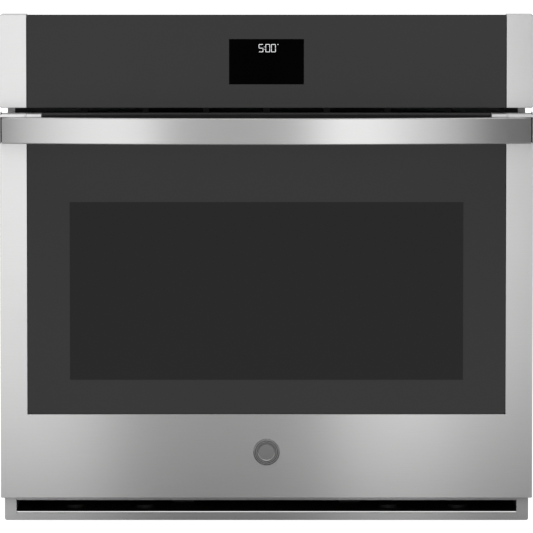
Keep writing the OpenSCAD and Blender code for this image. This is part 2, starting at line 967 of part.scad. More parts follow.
module door_skin() {
    glass_w = overall_w - 2 * side_strip_w;
    skin_w = overall_w - 1;
    depth_y = door_in_y - 2;
    arm_slot = 4.5;
    sill_r = 4.3;
    color(steel) difference() {
        slab(skin_w, face_y, depth_y, door_z, door_top);
        slab(skin_w - 2 * sheet, face_y + sheet, depth_y + over, door_z + sheet, door_top + over);
        translate([0, face_y + pane + over, glass_z - gap]) rotate([90, 0, 0])
            linear_extrude(pane + 2 * over) rounded_sill(glass_w, door_h, sill_r);
        slab(wide, face_y + pane, depth_y + over, top_trim_z, door_top + over);
        both_sides() {
            block([hinge_x - arm_slot, hinge_y - 10, door_z - over],
                [hinge_x + arm_slot, depth_y + over, door_z + 3]);
            for (z = screw_zs) bar_y(handle_screw_r + 0.2, screw_x, face_y - over, face_y + 2, z);
        }
        bar_y(badge_pin_r + 0.1, 0, face_y - over, face_y + 2, badge_z);
    }
}

module door_glass() {
    glass_w = overall_w - 2 * side_strip_w - 2 * gap;
    color("dimgray") translate([0, face_y + pane, glass_z]) rotate([90, 0, 0])
        linear_extrude(pane) rounded_sill(glass_w, door_top - glass_z, 4);
}

module door_inner_panel() {
    pan_w = overall_w - 7;
    pan_d = 13;
    pan_z = door_z + 3.5;
    plug_w = 610;
    plug_d = 3;
    plug_z = window_z - 225;
    plug_top = window_z + 185;
    arm_slot = 4.5;
    color(enamel) difference() {
        union() {
            slab(pan_w, door_in_y - pan_d, door_in_y, pan_z, pan_top);
            slab(plug_w, door_in_y, door_in_y + plug_d, plug_z, plug_top);
        }
        slab(pan_w - 2 * thin, door_in_y - pan_d - over, door_in_y - thin, pan_z + thin, pan_top - thin);
        slab(plug_w - 2 * thin, door_in_y - 2, door_in_y + plug_d - thin, plug_z + thin, plug_top - thin);
        slab(opening_w, door_in_y - 2, door_in_y + plug_d + over,
            window_z - opening_h / 2, window_z + opening_h / 2);
        both_sides() block([hinge_x - arm_slot, hinge_y - 10, door_z],
            [hinge_x + arm_slot, door_in_y + over, hinge_z + 10]);
    }
}

// Closes the door above the inner panel, in two halves with the latch slot between them
module door_top_strips() {
    strip_end = overall_w / 2 - 3.5;
    strip_z = pan_top + gap;
    strip_top = top_trim_z - 2.5 - gap;
    strip_y = door_in_y - thin;
    color(enamel) union() {
        block([-strip_end, strip_y, strip_z], [-latch_slot, door_in_y, strip_top]);
        block([latch_slot + 10, strip_y, strip_z], [strip_end, door_in_y, strip_top]);
    }
}

module inner_glass() {
    glass_w = opening_w + 20;
    glass_h = opening_h + 20;
    glass_y = door_in_y - 2.2;
    color("white", 0.4) slab(glass_w, glass_y, glass_y + pane,
        window_z - glass_h / 2, window_z + glass_h / 2);
}

module window_frame() {
    frame_sheet = 1.5;
    frame_back = door_in_y - 14;
    color(enamel) difference() {
        slab(tube_w, face_y + 6, frame_back, window_z - tube_h / 2, window_z + tube_h / 2);
        slab(tube_w - 2 * frame_sheet, face_y + 5, frame_back + over,
            window_z - tube_h / 2 + frame_sheet, window_z + tube_h / 2 - frame_sheet);
    }
}

module middle_glass() {
    glass_y = face_y + 16;
    color("white", 0.4) slab(tube_w - 4, glass_y, glass_y + pane,
        window_z - tube_h / 2 + 2, window_z + tube_h / 2 - 2);
}

module door_insulation() {
    wool_w = 636;
    wool_z = 60;
    wool_top = 570;
    wool_y = face_y + 8;
    wool_in = face_y + 20;
    color("khaki") difference() {
        slab(wool_w, wool_y, wool_in, wool_z, wool_top);
        slab(tube_w + 1, wool_y - over, wool_in + over,
            window_z - tube_h / 2 - 0.5, window_z + tube_h / 2 + 0.5);
    }
}

module door_top_trim() {
    trim_t = 2.5;
    vent_w = 30;
    vent_d = 5;
    vent_pitch = 50;
    color(blackish) difference() {
        slab(overall_w - 1 - 2 * sheet - 2 * gap, face_y + pane + gap, door_in_y - 0.2,
            top_trim_z - trim_t, top_trim_z);
        for (column = [-6 : 6])
            translate([column * vent_pitch - vent_w / 2, face_y + 14, top_trim_z - trim_t - over])
                cube([vent_w, vent_d, trim_t + 2 * over]);
    }
}

module badge() {
    rim_r = 19.4;
    centre_r = 16.5;
    rim_y = face_y - 1.5;
    color(steel) union() {
        bar_y(rim_r, 0, rim_y, face_y, badge_z);
        bar_y(centre_r, 0, rim_y - 0.6, rim_y, badge_z);
        bar_y(badge_pin_r, 0, face_y, face_y + 6, badge_z);
    }
}

// Cross-section of the bar, with rounded corners
module bar_section() {
    half_t = handle_t / 2 - bar_round;
    half_h = handle_h / 2 - bar_round;
    union() {
        square([handle_t, 2 * half_h], center = true);
        square([2 * half_t, handle_h], center = true);
        for (x = [-half_t, half_t], y = [-half_h, half_h]) translate([x, y]) circle(r = bar_round);
    }
}

module handle_bar() {
    half_angle = asin(handle_w / 2 / bow_r);
    color(steel) translate([0, bow_y, bar_z + handle_h / 2])
        rotate([0, 0, -90 - half_angle])
            rotate_extrude(angle = 2 * half_angle, $fn = bow_fn)
                translate([bow_r - handle_t / 2, 0]) bar_section();
}

// A block behind the end of the bar, a cheek outside it and a flat strip over both
module handle_bracket() {
    cheek = 1.3;
    slot_back = face_y - 3;
    strip_z = bar_top + gap;
    corner_r = 3;
    slot_w = 2 * corner_r - cheek;
    groove_w = 2;
    groove_d = 2.5;
    inset = 1.5;
    end_x = overall_w / 2 - inset;
    groove_x = overall_w / 2 - side_strip_w - groove_w / 2;
    front = front_y + handle_bow - 0.5;
    difference() {
        union() {
            intersection() {
                block([end_x - bracket_w, front, bar_z], [end_x - cheek, face_y, door_top - corner_r]);
                translate([0, bow_y, 0]) cylinder(r = bow_r - handle_t, h = wide, $fn = bow_fn);
            }
            block([end_x - bracket_w, front, strip_z], [end_x - corner_r, face_y, door_top]);
            block([end_x - cheek, front, bar_z], [end_x, face_y, door_top - corner_r]);
            block([end_x - 2 * corner_r, front, strip_z], [end_x, face_y, door_top - corner_r]);
            bar_y(corner_r, end_x - corner_r, front, face_y, door_top - corner_r);
        }
        block([end_x - cheek - slot_w, front - over, bar_z - over], [end_x - cheek, slot_back, strip_z]);
        block([groove_x, front - over, strip_z], [groove_x + groove_w, front + groove_d, door_top + over]);
        for (z = screw_zs) bar_y(handle_screw_r, screw_x, face_y - 14, face_y + over, z);
    }
}

module handle_brackets() {
    color(steel) both_sides() handle_bracket();
}

module handle_screws() {
    head_r = 5.5;
    head_t = 3.5;
    head_y = face_y + sheet;
    color("gray") both_sides() for (z = screw_zs) union() {
        bar_y(handle_screw_r - 0.02, screw_x, face_y - 12, head_y + 1, z);
        bar_y(head_r, screw_x, head_y, head_y + head_t, z);
    }
}

base_pan();
left_side_panel();
right_side_panel();
rear_panel();
top_front_cover();
top_rear_cover();
front_frame();
lower_trim();
vent_louvre();
air_duct();
cavity_liner();
rack_guides();
cavity_gasket();
insulation_blanket();
broil_element();
bake_element();
convection_cover();
convection_element();
convection_motor();
convection_fan();
lamp_lens();
lamp_bulb();
lamp_socket();
temperature_sensor();
rack_lower();
rack_upper();
blower_housing();
blower_wheel();
blower_motor();
control_glass();
left_panel_cap();
right_panel_cap();
panel_bracket();
display_board();
relay_board();
latch_bracket();
latch_motor();
latch_hook();
door_switch();
switch_plunger();
hinge_receivers();
hinge_arms();
junction_box();
conduit_bushing();
chassis_screws();
door_skin();
door_glass();
door_inner_panel();
middle_glass();
inner_glass();
window_frame();
door_insulation();
door_top_strips();
door_top_trim();
handle_bar();
handle_brackets();
handle_screws();
badge();
hinge_channels();
hinge_springs();
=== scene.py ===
import json
import math

import bmesh
import bpy
from mathutils import Matrix, Vector

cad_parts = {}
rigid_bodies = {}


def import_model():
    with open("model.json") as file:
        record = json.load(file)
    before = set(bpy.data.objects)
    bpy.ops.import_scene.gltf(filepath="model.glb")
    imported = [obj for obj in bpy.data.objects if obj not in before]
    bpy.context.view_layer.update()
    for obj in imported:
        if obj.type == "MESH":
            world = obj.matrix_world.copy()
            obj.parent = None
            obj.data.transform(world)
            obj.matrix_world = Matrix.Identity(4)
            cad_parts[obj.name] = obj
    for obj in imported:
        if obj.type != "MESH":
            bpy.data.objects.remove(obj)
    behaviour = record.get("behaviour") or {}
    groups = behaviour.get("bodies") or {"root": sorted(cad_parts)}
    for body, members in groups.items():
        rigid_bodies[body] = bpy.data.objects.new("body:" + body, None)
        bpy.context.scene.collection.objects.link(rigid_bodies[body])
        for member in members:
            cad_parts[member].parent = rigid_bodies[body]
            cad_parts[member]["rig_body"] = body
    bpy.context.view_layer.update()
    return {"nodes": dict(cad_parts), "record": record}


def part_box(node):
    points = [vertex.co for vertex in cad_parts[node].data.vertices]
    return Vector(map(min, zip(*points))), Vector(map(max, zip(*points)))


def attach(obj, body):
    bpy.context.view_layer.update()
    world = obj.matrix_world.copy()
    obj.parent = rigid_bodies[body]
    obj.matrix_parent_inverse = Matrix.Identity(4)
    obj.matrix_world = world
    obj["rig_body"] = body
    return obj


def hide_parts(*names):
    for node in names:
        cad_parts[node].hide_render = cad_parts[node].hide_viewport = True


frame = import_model()
nodes = frame["nodes"]
print("frame loaded:", len(nodes), "nodes")


# finishes, all made of nodes, each with its own grain and roughness

def newMaterial(name):
    material = bpy.data.materials.new(name)
    material.use_nodes = True
    return material, material.node_tree, material.node_tree.nodes["Principled BSDF"]


def objectMapping(tree, stretch):
    coordinates = tree.nodes.new("ShaderNodeTexCoord")
    mapping = tree.nodes.new("ShaderNodeMapping")
    mapping.inputs["Scale"].default_value = stretch
    tree.links.new(coordinates.outputs["Object"], mapping.inputs["Vector"])
    return mapping.outputs["Vector"]


def noiseOn(tree, scale, stretch=(1, 1, 1), detail=3.0, rough=0.55):
    noise = tree.nodes.new("ShaderNodeTexNoise")
    noise.inputs["Scale"].default_value = scale
    noise.inputs["Detail"].default_value = detail
    noise.inputs["Roughness"].default_value = rough
    tree.links.new(objectMapping(tree, stretch), noise.inputs["Vector"])
    return noise.outputs["Fac"]


def cellsOn(tree, scale):
    cells = tree.nodes.new("ShaderNodeTexVoronoi")
    cells.inputs["Scale"].default_value = scale
    tree.links.new(objectMapping(tree, (1, 1, 1)), cells.inputs["Vector"])
    return cells.outputs


def spread(tree, source, low, high, fromLow=0.3, fromHigh=0.7):
    ranger = tree.nodes.new("ShaderNodeMapRange")
    ranger.inputs["From Min"].default_value = fromLow
    ranger.inputs["From Max"].default_value = fromHigh
    ranger.inputs["To Min"].default_value = low
    ranger.inputs["To Max"].default_value = high
    tree.links.new(source, ranger.inputs["Value"])
    return ranger.outputs["Result"]


def tint(tree, source, darker, lighter, start=0.3, end=0.7):
    ramp = tree.nodes.new("ShaderNodeValToRGB")
    ramp.color_ramp.elements[0].position = start
    ramp.color_ramp.elements[0].color = (*darker, 1)
    ramp.color_ramp.elements[1].position = end
    ramp.color_ramp.elements[1].color = (*lighter, 1)
    tree.links.new(source, ramp.inputs["Fac"])
    return ramp.outputs["Color"]


def bumpTo(tree, shader, height, strength, distance):
    bump = tree.nodes.new("ShaderNodeBump")
    bump.inputs["Strength"].default_value = strength
    bump.inputs["Distance"].default_value = distance
    tree.links.new(height, bump.inputs["Height"])
    tree.links.new(bump.outputs["Normal"], shader.inputs["Normal"])


def shade(grey, warm=0.0):
    return (grey + warm, grey, grey - warm)


steelLook = {"grey": 0.6, "contrast": 0.012, "roughness": 0.35, "roughSpread": 0.04,
             "anisotropy": 0.75, "grain": 900.0, "scratch": 0.12, "grainAlong": (1.0, 0.02, 0.02)}


def brushedSteel(name, grey=steelLook["grey"], roughness=steelLook["roughness"],
                 anisotropy=steelLook["anisotropy"], stretch=(0.02, 1, 1)):
    material, tree, shader = newMaterial(name)
    grain = noiseOn(tree, steelLook["grain"], stretch, detail=4.0)
    smudge = noiseOn(tree, 6.0, detail=2.0)
    mix = tree.nodes.new("ShaderNodeMath")
    mix.operation = "MULTIPLY_ADD"
    mix.inputs[1].default_value = 0.35
    tree.links.new(smudge, mix.inputs[0])
    tree.links.new(grain, mix.inputs[2])
    contrast = steelLook["contrast"]
    tree.links.new(tint(tree, grain, shade(grey - contrast), shade(grey + contrast, 0.002)),
                   shader.inputs["Base Color"])
    half = steelLook["roughSpread"]
    tree.links.new(spread(tree, mix.outputs["Value"], roughness - half, roughness + half,
                          0.4, 0.95), shader.inputs["Roughness"])
    shader.inputs["Metallic"].default_value = 1.0
    shader.inputs["Anisotropic"].default_value = anisotropy
    shader.inputs["Anisotropic Rotation"].default_value = 0.25  # a quarter turn from the grain
    along = tree.nodes.new("ShaderNodeCombineXYZ")
    for axis, share in zip("XYZ", steelLook["grainAlong"]):
        along.inputs[axis].default_value = share
    tree.links.new(along.outputs["Vector"], shader.inputs["Tangent"])
    bumpTo(tree, shader, grain, steelLook["scratch"], 0.00005)
    return material


def printedGlass(name, grey, specular, roughness=0.04):
    material, tree, shader = newMaterial(name)
    ripple = noiseOn(tree, 3.0, detail=1.0)
    smudge = noiseOn(tree, 14.0, detail=4.0)
    tree.links.new(tint(tree, ripple, shade(grey * 0.92), shade(grey * 1.08)),
                   shader.inputs["Base Color"])
    tree.links.new(spread(tree, smudge, roughness * 0.7, roughness * 1.4),
                   shader.inputs["Roughness"])
    shader.inputs["Specular IOR Level"].default_value = specular
    bumpTo(tree, shader, ripple, 0.03, 0.0004)
    return material


windowLook = {"dark": 0.009, "dot": 0.021, "pitch": 0.0021, "specular": 0.32}


def meshWindowGlass(name):
    # a fine square screen of dots printed on the back of the pane
    material, tree, shader = newMaterial(name)
    coordinates = tree.nodes.new("ShaderNodeTexCoord")
    separate = tree.nodes.new("ShaderNodeSeparateXYZ")
    tree.links.new(coordinates.outputs["Object"], separate.inputs["Vector"])
    waves = []
    for axis in ("X", "Z"):
        scaled = tree.nodes.new("ShaderNodeMath")
        scaled.operation = "MULTIPLY"
        scaled.inputs[1].default_value = 2 * math.pi / windowLook["pitch"]
        tree.links.new(separate.outputs[axis], scaled.inputs[0])
        wave = tree.nodes.new("ShaderNodeMath")
        wave.operation = "SINE"
        tree.links.new(scaled.outputs["Value"], wave.inputs[0])
        waves.append(wave.outputs["Value"])
    dots = tree.nodes.new("ShaderNodeMath")
    dots.operation = "MULTIPLY"
    tree.links.new(waves[0], dots.inputs[0])
    tree.links.new(waves[1], dots.inputs[1])
    tree.links.new(tint(tree, dots.outputs["Value"], shade(windowLook["dark"]),
                        shade(windowLook["dot"]), 0.2, 0.6), shader.inputs["Base Color"])
    shader.inputs["Roughness"].default_value = 0.04
    shader.inputs["Specular IOR Level"].default_value = windowLook["specular"]
    return material


def clearGlass(name, grey=0.85, roughness=0.03):
    material, tree, shader = newMaterial(name)
    haze = noiseOn(tree, 20.0, detail=3.0)
    tree.links.new(tint(tree, haze, (grey * 0.96, grey, grey * 0.99), (grey, grey, grey)),
                   shader.inputs["Base Color"])
    tree.links.new(spread(tree, haze, roughness, roughness * 2.5), shader.inputs["Roughness"])
    shader.inputs["Transmission Weight"].default_value = 0.92
    shader.inputs["IOR"].default_value = 1.47
    return material


def galvanisedSheet(name):
    # zinc spangle: pale crystals a few millimetres across
    material, tree, shader = newMaterial(name)
    cells = cellsOn(tree, 130.0)
    flecks = tree.nodes.new("ShaderNodeSeparateColor")
    tree.links.new(cells["Color"], flecks.inputs["Color"])
    fleck = flecks.outputs["Red"]
    tree.links.new(tint(tree, fleck, (0.50, 0.515, 0.53), (0.70, 0.71, 0.72), 0.0, 1.0),
                   shader.inputs["Base Color"])
    tree.links.new(spread(tree, fleck, 0.34, 0.52, 0.0, 1.0), shader.inputs["Roughness"])
    shader.inputs["Metallic"].default_value = 0.92
    bumpTo(tree, shader, noiseOn(tree, 9.0, detail=2.0), 0.25, 0.0012)
    return material


def speckledEnamel(name):
    # dark blue-grey porcelain with fine pale flecks
    material, tree, shader = newMaterial(name)
    specks = cellsOn(tree, 420.0)["Distance"]
    tree.links.new(tint(tree, specks, (0.16, 0.17, 0.19), (0.022, 0.026, 0.034), 0.10, 0.24),
                   shader.inputs["Base Color"])
    shader.inputs["Roughness"].default_value = 0.16
    bumpTo(tree, shader, noiseOn(tree, 60.0, detail=3.0), 0.08, 0.0006)
    return material


def paintedMetal(name, grey, roughness, peel=0.06):
    material, tree, shader = newMaterial(name)
    peelNoise = noiseOn(tree, 260.0, detail=2.0)
    dust = noiseOn(tree, 18.0, detail=5.0)
    tree.links.new(tint(tree, dust, shade(grey * 0.85), shade(grey * 1.2)),
                   shader.inputs["Base Color"])
    tree.links.new(spread(tree, dust, roughness * 0.85, roughness * 1.15),
                   shader.inputs["Roughness"])
    bumpTo(tree, shader, peelNoise, peel, 0.0004)
    return material


def platedWire(name, grey=0.56, roughness=0.2):
    material, tree, shader = newMaterial(name)
    drawn = noiseOn(tree, 500.0, (1, 0.05, 1), detail=3.0)
    tree.links.new(tint(tree, drawn, shade(grey * 0.9), shade(grey, 0.006)),
                   shader.inputs["Base Color"])
    tree.links.new(spread(tree, drawn, roughness * 0.8, roughness * 1.3),
                   shader.inputs["Roughness"])
    shader.inputs["Metallic"].default_value = 1.0
    bumpTo(tree, shader, drawn, 0.1, 0.00008)
    return material


def heatedTube(name):
    material, tree, shader = newMaterial(name)
    scorch = noiseOn(tree, 45.0, detail=5.0)
    tree.links.new(tint(tree, scorch, (0.05, 0.048, 0.052), (0.17, 0.14, 0.115)),
                   shader.inputs["Base Color"])
    tree.links.new(spread(tree, scorch, 0.42, 0.62), shader.inputs["Roughness"])
    shader.inputs["Metallic"].default_value = 0.7
    bumpTo(tree, shader, noiseOn(tree, 700.0, detail=2.0), 0.15, 0.0001)
    return material


def fibreBlanket(name):
    material, tree, shader = newMaterial(name)
    fibre = noiseOn(tree, 160.0, (1, 1, 3), detail=8.0, rough=0.75)
    tree.links.new(tint(tree, fibre, (0.36, 0.31, 0.19), (0.72, 0.66, 0.46)),
                   shader.inputs["Base Color"])
    shader.inputs["Roughness"].default_value = 0.95
    shader.inputs["Sheen Weight"].default_value = 0.2
    bumpTo(tree, shader, fibre, 0.9, 0.003)
    return material


def braidedRope(name):
    material, tree, shader = newMaterial(name)
    strands = tree.nodes.new("ShaderNodeTexWave")
    strands.wave_type = "BANDS"
    strands.bands_direction = "DIAGONAL"
    strands.inputs["Scale"].default_value = 190.0
    strands.inputs["Distortion"].default_value = 1.5
    tree.links.new(objectMapping(tree, (1, 1, 1)), strands.inputs["Vector"])
    tree.links.new(tint(tree, strands.outputs["Fac"], (0.05, 0.05, 0.052), (0.2, 0.195, 0.185)),
                   shader.inputs["Base Color"])
    shader.inputs["Roughness"].default_value = 0.85
    bumpTo(tree, shader, strands.outputs["Fac"], 0.8, 0.001)
    return material


def matteCeramic(name):
    material, tree, shader = newMaterial(name)
    speck = noiseOn(tree, 300.0, detail=4.0)
    tree.links.new(tint(tree, speck, (0.70, 0.67, 0.60), (0.84, 0.82, 0.76)),
                   shader.inputs["Base Color"])
    shader.inputs["Roughness"].default_value = 0.6
    bumpTo(tree, shader, speck, 0.15, 0.0002)
    return material


def frostedBulb(name):
    material, tree, shader = newMaterial(name)
    frost = noiseOn(tree, 400.0, detail=2.0)
    tree.links.new(tint(tree, frost, (0.86, 0.85, 0.8), (0.95, 0.94, 0.9)),
                   shader.inputs["Base Color"])
    shader.inputs["Roughness"].default_value = 0.35
    shader.inputs["Transmission Weight"].default_value = 0.4
    bumpTo(tree, shader, frost, 0.2, 0.0001)
    return material


def circuitBoard(name):
    material, tree, shader = newMaterial(name)
    tracks = tree.nodes.new("ShaderNodeTexBrick")
    tracks.inputs["Scale"].default_value = 60.0
    tracks.inputs["Color1"].default_value = (0.012, 0.07, 0.03, 1)
    tracks.inputs["Color2"].default_value = (0.016, 0.1, 0.04, 1)
    tracks.inputs["Mortar"].default_value = (0.03, 0.16, 0.07, 1)
    tree.links.new(objectMapping(tree, (1, 1, 1)), tracks.inputs["Vector"])
    tree.links.new(tracks.outputs["Color"], shader.inputs["Base Color"])
    shader.inputs["Roughness"].default_value = 0.35
    bumpTo(tree, shader, tracks.outputs["Fac"], 0.3, 0.0002)
    return material


def mouldedPlastic(name, colour, roughness):
    material, tree, shader = newMaterial(name)
    texture = noiseOn(tree, 900.0, detail=2.0)
    lighter = tuple(min(1.0, channel * 1.12 + 0.003) for channel in colour)
    tree.links.new(tint(tree, texture, colour, lighter), shader.inputs["Base Color"])
    tree.links.new(spread(tree, texture, roughness * 0.9, roughness * 1.1),
                   shader.inputs["Roughness"])
    bumpTo(tree, shader, texture, 0.2, 0.0001)
    return material


def lampGlow(name, strength):
    material, tree, shader = newMaterial(name)
    glow = noiseOn(tree, 900.0, detail=1.0)
    tree.links.new(tint(tree, glow, (0.8, 0.85, 0.9), (1, 1, 1)), shader.inputs["Emission Color"])
    shader.inputs["Base Color"].default_value = (0.5, 0.5, 0.5, 1)
    shader.inputs["Emission Strength"].default_value = strength
    return material


finishes = {
    "stainless": brushedSteel("stainless"),
    "badge": brushedSteel("badge_steel", grey=0.36, roughness=0.24, anisotropy=0.0),
    "control_glass": printedGlass("control_glass", 0.041, 0.47),
    "door_glass": printedGlass("door_glass", 0.0385, 0.45),
    "clear_glass": clearGlass("clear_glass"),
    "galvanised": galvanisedSheet("galvanised"),
    "enamel": speckledEnamel("enamel"),
    "black_paint": paintedMetal("black_paint", 0.028, 0.45),
    "wire": platedWire("wire"),
    "element": heatedTube("element"),
    "wool": fibreBlanket("wool"),
    "gasket": braidedRope("gasket"),
    "motor": paintedMetal("motor", 0.2, 0.4, 0.2),
    "ceramic": matteCeramic("ceramic"),
    "bulb": frostedBulb("bulb"),
    "board": circuitBoard("board"),
    "black_plastic": mouldedPlastic("black_plastic", (0.018, 0.018, 0.019), 0.5),
    "white_plastic": mouldedPlastic("white_plastic", (0.72, 0.72, 0.69), 0.45),
    "plated": platedWire("plated", 0.46, 0.32),
}
windowGlass = meshWindowGlass("window_glass")
displayBlack = printedGlass("display_black", 0.0004, 0.02, 0.3)
# painted light: a lighter copy of the stainless for the lower trim, making it read brighter than
# the rest of the steel
trimSteelPaintedLighter = brushedSteel("trim_steel_painted_lighter", grey=0.7)
# painted shade: a near-black finish with almost no reflection, for the shadowed slots at the ends
# of the handle
slotShadeLiner = mouldedPlastic("slot_painted_shade", (0.01, 0.01, 0.01), 0.85)
shadeLinerShader = slotShadeLiner.node_tree.nodes["Principled BSDF"]
shadeLinerShader.inputs["Specular IOR Level"].default_value = 0.05
digitGlow = lampGlow("digit_glow", 1.0)
print("materials made:", len(bpy.data.materials))

slotOf = {row["node"]: row["material_slot"] for row in frame["record"]["subparts"]}
for nodeName, node in nodes.items():
    node.data.materials.clear()
    node.data.materials.append(finishes[slotOf[nodeName]])


# helpers that shape and place the pieces

def flattenFaces(piece):
    # keeps the wide faces flat next to their rounded edges
    weighted = piece.modifiers.new("flat_faces", "WEIGHTED_NORMAL")
    weighted.weight = 100
    weighted.keep_sharp = True


def finishMesh(bm, name, body, slot, replaced=(), smoothAngle=35.0, flat=True):
    bmesh.ops.remove_doubles(bm, verts=bm.verts, dist=1e-6)
    mesh = bpy.data.meshes.new(name)
    bm.to_mesh(mesh)
    bm.free()
    piece = bpy.data.objects.new(name, mesh)
    bpy.context.scene.collection.objects.link(piece)
    mesh.materials.append(finishes[slot])
    mesh.shade_smooth()
    mesh.set_sharp_from_angle(angle=math.radians(smoothAngle))
    if replaced:
        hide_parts(*replaced)
    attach(piece, body)
    if flat:
        flattenFaces(piece)
    return piece


def bevelEdges(bm, edges, offset, segments=3):
    if edges:
        bmesh.ops.bevel(bm, geom=edges, offset=offset, offset_type="OFFSET", affect="EDGES",
                        segments=segments, profile=0.5, material=-1, clamp_overlap=True)


def boxShape(low, high):
    bm = bmesh.new()
    bmesh.ops.create_cube(bm, size=1.0)
    size = [high[axis] - low[axis] for axis in range(3)]
    middle = [(high[axis] + low[axis]) / 2 for axis in range(3)]
    bmesh.ops.scale(bm, vec=size, verts=bm.verts)
    bmesh.ops.translate(bm, vec=middle, verts=bm.verts)
    return bm


def cutAcross(bm, point, normal):
    bmesh.ops.bisect_plane(bm, geom=bm.verts[:] + bm.edges[:] + bm.faces[:], dist=1e-6,
                           plane_co=point, plane_no=normal)


def near(a, b, slack=1e-5):
    return abs(a - b) < slack


def softened(nodeName, width=0.0006, segments=2, angle=40.0):
    # a clean copy of a CAD node, with small rounds along its sharp edges
    source = nodes[nodeName]
    bm = bmesh.new()
    bm.from_mesh(source.data)
    bmesh.ops.remove_doubles(bm, verts=bm.verts, dist=1e-6)
    bmesh.ops.dissolve_limit(bm, angle_limit=math.radians(1.0), verts=bm.verts, edges=bm.edges)
    name = nodeName + "_softened"
    piece = finishMesh(bm, name, source["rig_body"], slotOf[nodeName], (nodeName,), flat=False)
    bevel = piece.modifiers.new("rounds", "BEVEL")
    bevel.width = width
    bevel.segments = segments
    bevel.limit_method = "ANGLE"
    bevel.angle_limit = math.radians(angle)
    flattenFaces(piece)
    return piece


sharpFold = math.radians(45)


def cutNotch(bm, floorZ, lowX, highX, fromY):
    # a slot in the folded bottom, open towards the back
    def floorFaces():
        return [face for face in bm.faces if abs(face.normal.z) > 0.99
                and near(face.calc_center_median().z, floorZ)]

    for point, normal in (((lowX, 0, 0), (1, 0, 0)), ((highX, 0, 0), (1, 0, 0)),
                          ((0, fromY, 0), (0, 1, 0))):
        faces = floorFaces()
        edges = {edge for face in faces for edge in face.edges}
        verts = {vert for face in faces for vert in face.verts}
        bmesh.ops.bisect_plane(bm, geom=list(verts) + list(edges) + faces, dist=1e-6,
                               plane_co=point, plane_no=normal)
    doomed = [face for face in floorFaces()
              if lowX < face.calc_center_median().x < highX and face.calc_center_median().y > fromY]
    bmesh.ops.delete(bm, geom=doomed, context="FACES")


def openTopFront(box, sideW, sillH, sheet, lip, cornerR, rimR, outerR, notches=()):
    # a stainless front with two sides and a sill, open at the top, folded back at its edges
    low, high = box
    innerX = (high.x - low.x) / 2 - sideW
    sillZ = low.z + sillH
    bm = boxShape(low, high)
    cutAcross(bm, (innerX, 0, 0), (1, 0, 0))
    cutAcross(bm, (-innerX, 0, 0), (1, 0, 0))
    cutAcross(bm, (0, 0, sillZ), (0, 0, 1))
    doomed = []
    for face in bm.faces:
        middle = face.calc_center_median()
        behind = near(middle.y, high.y)
        top = near(middle.z, high.z)
        inWindow = near(middle.y, low.y) and abs(middle.x) < innerX and middle.z > sillZ
        if behind or top or inWindow:
            doomed.append(face)
    bmesh.ops.delete(bm, geom=doomed, context="FACES")
    rim = [edge for edge in bm.edges if edge.is_boundary
           and all(near(vert.co.y, low.y) and abs(vert.co.x) < innerX + 1e-5
                   and vert.co.z > sillZ - 1e-5 for vert in edge.verts)]
    made = bmesh.ops.extrude_edge_only(bm, edges=rim)
    fresh = [item for item in made["geom"] if isinstance(item, bmesh.types.BMVert)]
    bmesh.ops.translate(bm, vec=(0, lip, 0), verts=fresh)
    corners = [edge for edge in bm.edges
               if all(near(abs(vert.co.x), innerX) and near(vert.co.z, sillZ)
                      for vert in edge.verts)]
    bevelEdges(bm, corners, cornerR, 6)
    outerCorners = [edge for edge in bm.edges
                    if all(near(abs(vert.co.x), high.x) and near(vert.co.z, low.z)
                           for vert in edge.verts)]
    bevelEdges(bm, outerCorners, outerR, 5)
    frontRim = []
    for edge in bm.edges:
        onFront = all(near(vert.co.y, low.y) for vert in edge.verts)
        if onFront and len(edge.link_faces) == 2 and edge.calc_face_angle(0.0) > sharpFold:
            frontRim.append(edge)
    bevelEdges(bm, frontRim, rimR, 3)
    bmesh.ops.recalc_face_normals(bm, faces=bm.faces)
    outward = [face for face in bm.faces if near(face.calc_center_median().y, low.y)]
    if outward and outward[0].normal.y > 0:
        bmesh.ops.reverse_faces(bm, faces=bm.faces)
    for notch in notches:
        cutNotch(bm, low.z, *notch)
    bmesh.ops.solidify(bm, geom=bm.faces, thickness=sheet)
    return bm


# the door and what is fixed to it

doorSkin = {"sheet": 0.0012, "lip": 0.005, "cornerR": 0.004, "rimR": 0.0009, "outerR": 0.0015,
            "glassGap": 0.0003, "armX": 0.330, "armSlot": 0.0045, "armSlotY": -0.25}
skinLow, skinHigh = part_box("door_skin")
glassLow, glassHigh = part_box("door_glass")


def buildDoorSkin():
    gap = doorSkin["glassGap"]
    armSlots = [(x - doorSkin["armSlot"], x + doorSkin["armSlot"], doorSkin["armSlotY"])
                for x in (-doorSkin["armX"], doorSkin["armX"])]
    bm = openTopFront((skinLow, skinHigh), skinHigh.x - glassHigh.x - gap,
                      glassLow.z - skinLow.z - gap, doorSkin["sheet"], doorSkin["lip"],
                      doorSkin["cornerR"], doorSkin["rimR"], doorSkin["outerR"], armSlots)
    finishMesh(bm, "door_skin_folded", "door", "stainless", ("door_skin",))


doorPane = {"windowHalfW": 0.279, "windowLow": 0.2055, "windowHigh": 0.4585,
            "edgeR": 0.0006, "cornerR": 0.004}


